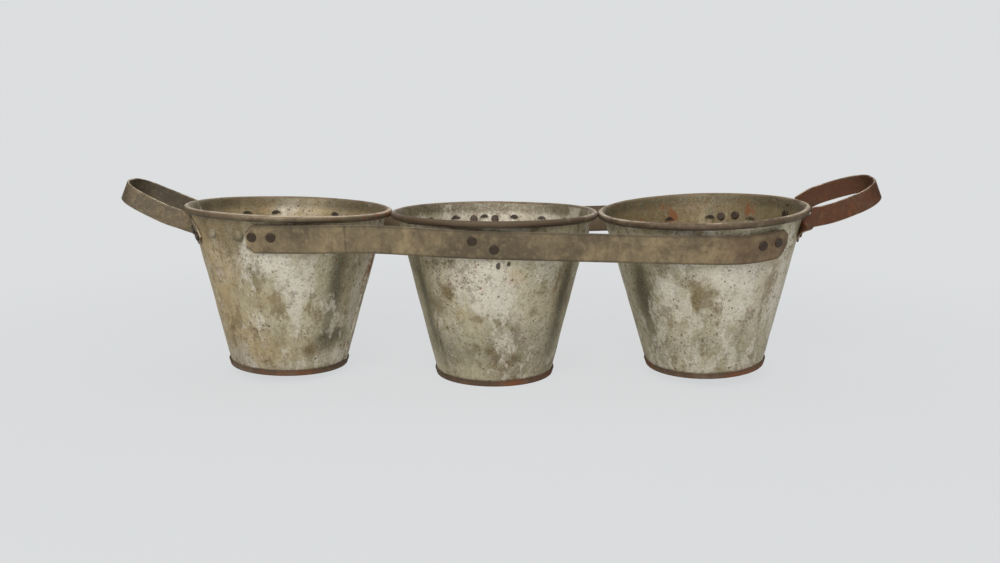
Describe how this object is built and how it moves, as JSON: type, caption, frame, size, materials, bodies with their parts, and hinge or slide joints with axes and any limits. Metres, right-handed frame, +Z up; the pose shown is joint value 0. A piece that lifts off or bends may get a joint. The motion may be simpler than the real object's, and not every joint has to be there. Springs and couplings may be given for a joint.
{
  "type": "indoor herb planter",
  "caption": "Row of tapered galvanised sheet-metal herb pots riveted between flat steel strips, with a bent strip loop handle at each end.",
  "frame": {"origin": "centre of the middle pot's base, on the floor", "axes": "+Z up, +X along the row to the right as seen from the front, front at -Y"},
  "size_m": [0.5907, 0.1636, 0.1595],
  "materials": {
    "zinc_sheet": "weathered galvanised sheet, mottled grey and cream with rust specks",
    "rim_wire": "plain drawn wire, hidden in the rim",
    "base_steel": "dark rusted sheet",
    "strip_steel": "aged olive-brown strip, mottled, dull",
    "left_handle_steel": "aged taupe strip, worn bright along the edges",
    "right_handle_steel": "red-brown rusted strip, worn bright along the edges",
    "rivet_steel": "dark hammered rivet"
  },
  "bodies": {
    "root": {"left_pot_wall": "zinc_sheet", "left_rim_wire": "rim_wire", "left_base_pan": "base_steel", "middle_pot_wall": "zinc_sheet", "middle_rim_wire": "rim_wire", "middle_base_pan": "base_steel", "right_pot_wall": "zinc_sheet", "right_rim_wire": "rim_wire", "right_base_pan": "base_steel", "front_strip": "strip_steel", "rear_strip": "strip_steel", "left_handle": "left_handle_steel", "right_handle": "right_handle_steel", "front_strip_rivet_1": "rivet_steel", "front_strip_rivet_2": "rivet_steel", "front_strip_rivet_3": "rivet_steel", "front_strip_rivet_4": "rivet_steel", "front_strip_rivet_5": "rivet_steel", "front_strip_rivet_6": "rivet_steel", "rear_strip_rivet_1": "rivet_steel", "rear_strip_rivet_2": "rivet_steel", "rear_strip_rivet_3": "rivet_steel", "rear_strip_rivet_4": "rivet_steel", "rear_strip_rivet_5": "rivet_steel", "rear_strip_rivet_6": "rivet_steel", "left_handle_rivet_1": "rivet_steel", "left_handle_rivet_2": "rivet_steel", "left_handle_rivet_3": "rivet_steel", "left_handle_rivet_4": "rivet_steel", "right_handle_rivet_1": "rivet_steel", "right_handle_rivet_2": "rivet_steel", "right_handle_rivet_3": "rivet_steel", "right_handle_rivet_4": "rivet_steel"}
  },
  "joints": []
}
